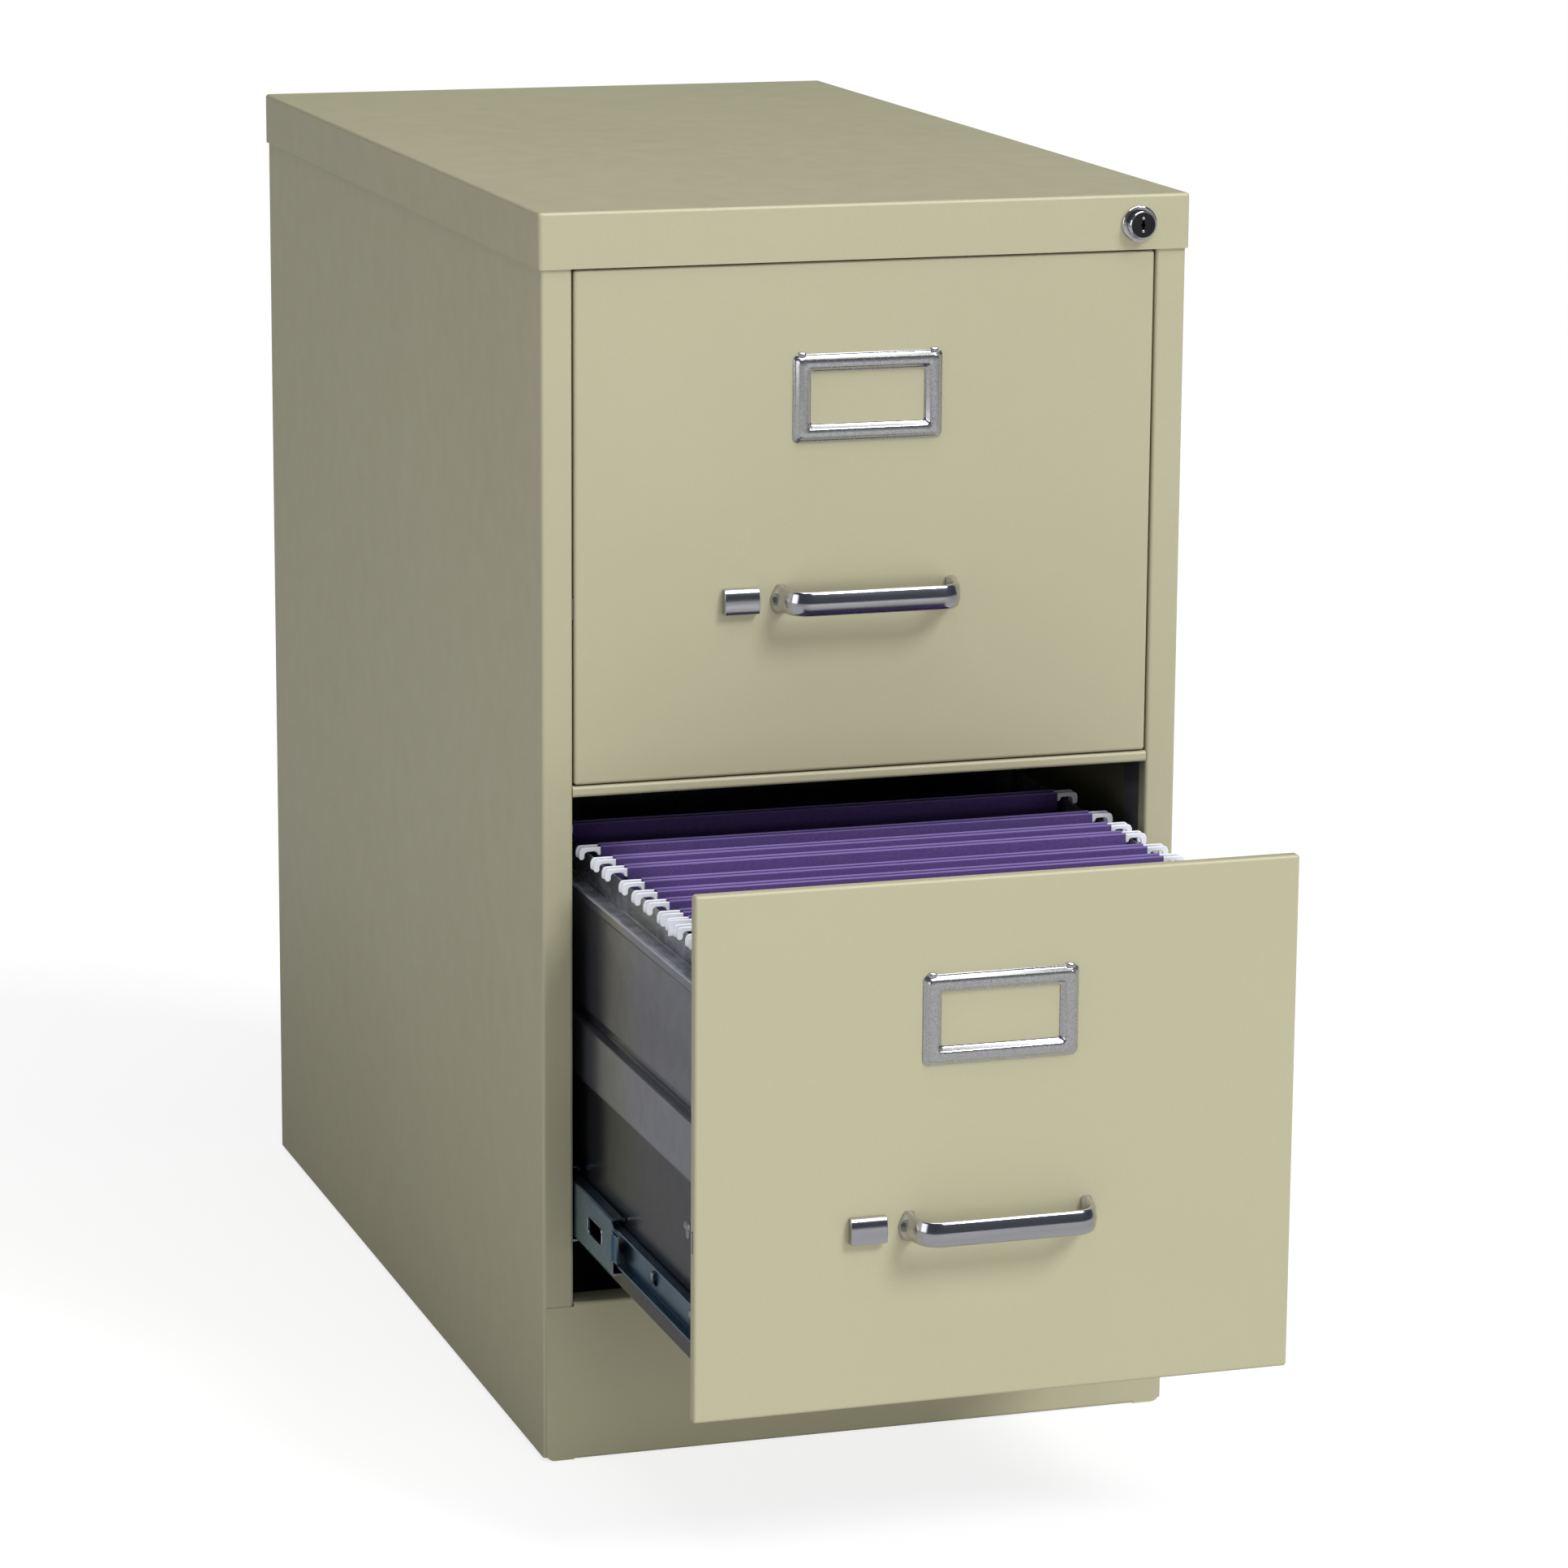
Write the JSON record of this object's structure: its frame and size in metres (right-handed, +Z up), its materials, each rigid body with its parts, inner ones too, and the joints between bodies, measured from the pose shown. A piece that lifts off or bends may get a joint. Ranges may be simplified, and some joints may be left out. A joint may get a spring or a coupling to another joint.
{
  "type": "vertical filing cabinet",
  "caption": "Vertical filing cabinet in putty painted steel, drawers on ball-bearing slides with bow handles, label holders and thumb latches, plunger lock, hanging folders in the open drawer.",
  "frame": {"origin": "on the floor, under the middle of the whole object's box as stored, with the lower drawer pulled out", "axes": "+X to the right seen from the front, +Y from the front to the back, +Z up; the drawers open along -Y"},
  "size_m": [0.384, 0.9304, 0.7207],
  "materials": {
    "putty_paint": "satin enamel",
    "zinc_plated_steel": "galvanised",
    "slide_steel": "bright zinc",
    "bearing_steel": "polished",
    "spring_steel": "drawn wire",
    "lock_chrome": "polished",
    "lock_black": "black lacquer",
    "polished_aluminium": "polished",
    "satin_aluminium": "satin",
    "purple_card": "matte",
    "hook_white": "plastic coated"
  },
  "bodies": {
    "cabinet": {"top_cap": "putty_paint", "side_panel_left": "putty_paint", "side_panel_right": "putty_paint", "back_panel": "putty_paint", "kick_plate": "putty_paint", "mid_rail": "putty_paint", "top_rail": "putty_paint", "base_rear_rail": "zinc_plated_steel", "front_post_left": "zinc_plated_steel", "front_post_right": "zinc_plated_steel", "rear_post_left": "zinc_plated_steel", "rear_post_right": "zinc_plated_steel", "glide_brackets": "zinc_plated_steel", "glide_nuts": "zinc_plated_steel", "leveling_glides": "zinc_plated_steel", "lock_housing": "lock_chrome", "lock_nut": "zinc_plated_steel", "lock_bar_guides": "zinc_plated_steel", "lock_bar_spring": "spring_steel", "upper_cabinet_slides": "slide_steel", "lower_cabinet_slides": "slide_steel"},
    "lock_plunger": {"lock_plunger": "lock_chrome"},
    "lock_plug": {"lock_plug": "lock_black"},
    "lock_bar": {"lock_bar": "zinc_plated_steel"},
    "upper_drawer": {"upper_drawer_front": "putty_paint", "upper_inner_front": "zinc_plated_steel", "upper_drawer_side_left": "zinc_plated_steel", "upper_drawer_side_right": "zinc_plated_steel", "upper_drawer_bottom": "zinc_plated_steel", "upper_drawer_back": "zinc_plated_steel", "upper_handle": "polished_aluminium", "upper_handle_screws": "zinc_plated_steel", "upper_label_holder": "satin_aluminium", "upper_latch_spring": "spring_steel", "upper_lock_catch": "zinc_plated_steel", "upper_drawer_slides": "slide_steel"},
    "upper_latch": {"upper_latch_button": "satin_aluminium", "upper_latch_bar": "zinc_plated_steel"},
    "upper_middle_slides": {"upper_middle_slides": "slide_steel"},
    "upper_outer_ball_cages": {"upper_outer_ball_cages": "bearing_steel"},
    "upper_inner_ball_cages": {"upper_inner_ball_cages": "bearing_steel"},
    "lower_drawer": {"lower_drawer_front": "putty_paint", "lower_inner_front": "zinc_plated_steel", "lower_drawer_side_left": "zinc_plated_steel", "lower_drawer_side_right": "zinc_plated_steel", "lower_drawer_bottom": "zinc_plated_steel", "lower_drawer_back": "zinc_plated_steel", "lower_handle": "polished_aluminium", "lower_handle_screws": "zinc_plated_steel", "lower_label_holder": "satin_aluminium", "lower_latch_spring": "spring_steel", "lower_lock_catch": "zinc_plated_steel", "lower_drawer_slides": "slide_steel", "hanging_folders": "purple_card", "folder_hook_bars": "hook_white"},
    "lower_latch": {"lower_latch_button": "satin_aluminium", "lower_latch_bar": "zinc_plated_steel"},
    "lower_middle_slides": {"lower_middle_slides": "slide_steel"},
    "lower_outer_ball_cages": {"lower_outer_ball_cages": "bearing_steel"},
    "lower_inner_ball_cages": {"lower_inner_ball_cages": "bearing_steel"}
  },
  "joints": [
    {"name": "upper_drawer_slide", "type": "slide", "parent": "cabinet", "child": "upper_drawer", "axis": [0, -1, 0], "range_m": [0, 0.56]},
    {"name": "upper_middle_slides_slide", "type": "slide", "parent": "cabinet", "child": "upper_middle_slides", "axis": [0, -1, 0], "range_m": [0, 0.28]},
    {"name": "upper_outer_ball_cages_slide", "type": "slide", "parent": "cabinet", "child": "upper_outer_ball_cages", "axis": [0, -1, 0], "range_m": [0, 0.14]},
    {"name": "upper_inner_ball_cages_slide", "type": "slide", "parent": "cabinet", "child": "upper_inner_ball_cages", "axis": [0, -1, 0], "range_m": [0, 0.42]},
    {"name": "upper_latch_slide", "type": "slide", "parent": "upper_drawer", "child": "upper_latch", "axis": [1, 0, 0], "range_m": [0, 0.006], "stiffness_N_per_m": 150, "springref_m": -0.01, "deforming": ["upper_latch_spring"]},
    {"name": "lower_drawer_slide", "type": "slide", "parent": "cabinet", "child": "lower_drawer", "axis": [0, -1, 0], "range_m": [-0.232, 0.328]},
    {"name": "lower_middle_slides_slide", "type": "slide", "parent": "cabinet", "child": "lower_middle_slides", "axis": [0, -1, 0], "range_m": [-0.116, 0.164]},
    {"name": "lower_outer_ball_cages_slide", "type": "slide", "parent": "cabinet", "child": "lower_outer_ball_cages", "axis": [0, -1, 0], "range_m": [-0.058, 0.082]},
    {"name": "lower_inner_ball_cages_slide", "type": "slide", "parent": "cabinet", "child": "lower_inner_ball_cages", "axis": [0, -1, 0], "range_m": [-0.174, 0.246]},
    {"name": "lower_latch_slide", "type": "slide", "parent": "lower_drawer", "child": "lower_latch", "axis": [1, 0, 0], "range_m": [0, 0.006], "stiffness_N_per_m": 150, "springref_m": -0.01, "deforming": ["lower_latch_spring"]},
    {"name": "lock_plunger_slide", "type": "slide", "parent": "cabinet", "child": "lock_plunger", "axis": [0, 1, 0], "range_m": [0, 0.0065]},
    {"name": "lock_plug_turn", "type": "hinge", "parent": "lock_plunger", "child": "lock_plug", "pos_m": [0.161, -0.21075, 0.704], "axis": [0, 1, 0], "range_deg": [0, 90]},
    {"name": "lock_bar_slide", "type": "slide", "parent": "cabinet", "child": "lock_bar", "axis": [0, 0, -1], "range_m": [0, 0.0065], "stiffness_N_per_m": 300, "springref_m": -0.012, "deforming": ["lock_bar_spring"]}
  ],
  "couplings": [
    {"joint": "upper_middle_slides_slide", "follows": "upper_drawer_slide", "ratio": 0.5},
    {"joint": "upper_outer_ball_cages_slide", "follows": "upper_drawer_slide", "ratio": 0.25},
    {"joint": "upper_inner_ball_cages_slide", "follows": "upper_drawer_slide", "ratio": 0.75},
    {"joint": "lower_middle_slides_slide", "follows": "lower_drawer_slide", "ratio": 0.5},
    {"joint": "lower_outer_ball_cages_slide", "follows": "lower_drawer_slide", "ratio": 0.25},
    {"joint": "lower_inner_ball_cages_slide", "follows": "lower_drawer_slide", "ratio": 0.75},
    {"joint": "lock_bar_slide", "follows": "lock_plunger_slide", "ratio": 1}
  ]
}
